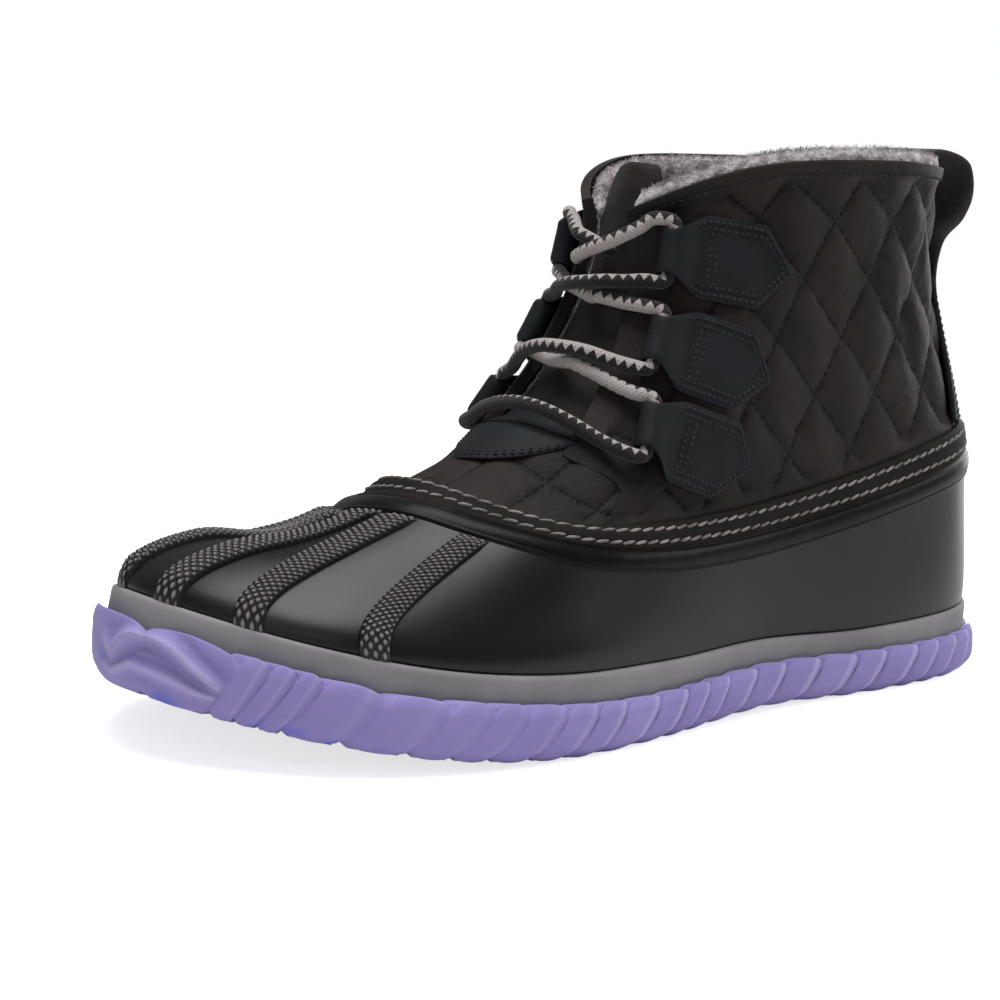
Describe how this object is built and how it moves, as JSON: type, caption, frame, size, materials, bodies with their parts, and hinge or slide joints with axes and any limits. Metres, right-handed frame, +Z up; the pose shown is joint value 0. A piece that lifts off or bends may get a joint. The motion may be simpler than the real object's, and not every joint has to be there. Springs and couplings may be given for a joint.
{
  "type": "rain boot",
  "caption": "Left ankle-high lace-up rain boot: moulded rubber shell, quilted fabric shaft open at collar and throat, laced tongue, heel pull loop and roped rubber sole.",
  "frame": {"origin": "middle of the boot's box in plan, on the plane that the tread stands on", "axes": "+X from heel to toe, +Y to the outer side of the foot, +Z up"},
  "size_m": [0.276, 0.1094, 0.1488],
  "materials": {
    "rubber_purple": "matte moulded rubber",
    "rubber_grey": "matte foam rubber",
    "foam_grey": "fleece on thin foam",
    "rubber_black": "satin moulded rubber",
    "quilted_nylon": "quilted nylon, fleece inside",
    "leather_black": "smooth matte leather",
    "lace_grey": "woven round rope",
    "webbing_black": "woven webbing"
  },
  "bodies": {
    "root": {"outsole": "rubber_purple", "midsole": "rubber_grey", "insole": "foam_grey", "shell": "rubber_black", "shaft": "quilted_nylon", "tongue": "quilted_nylon", "lace_tab_top_outer": "leather_black", "lace_tab_top_inner": "leather_black", "lace_tab_middle_outer": "leather_black", "lace_tab_middle_inner": "leather_black", "lace_tab_bottom_outer": "leather_black", "lace_tab_bottom_inner": "leather_black", "lace": "lace_grey", "backstay": "leather_black", "pull_loop": "webbing_black"}
  },
  "joints": []
}
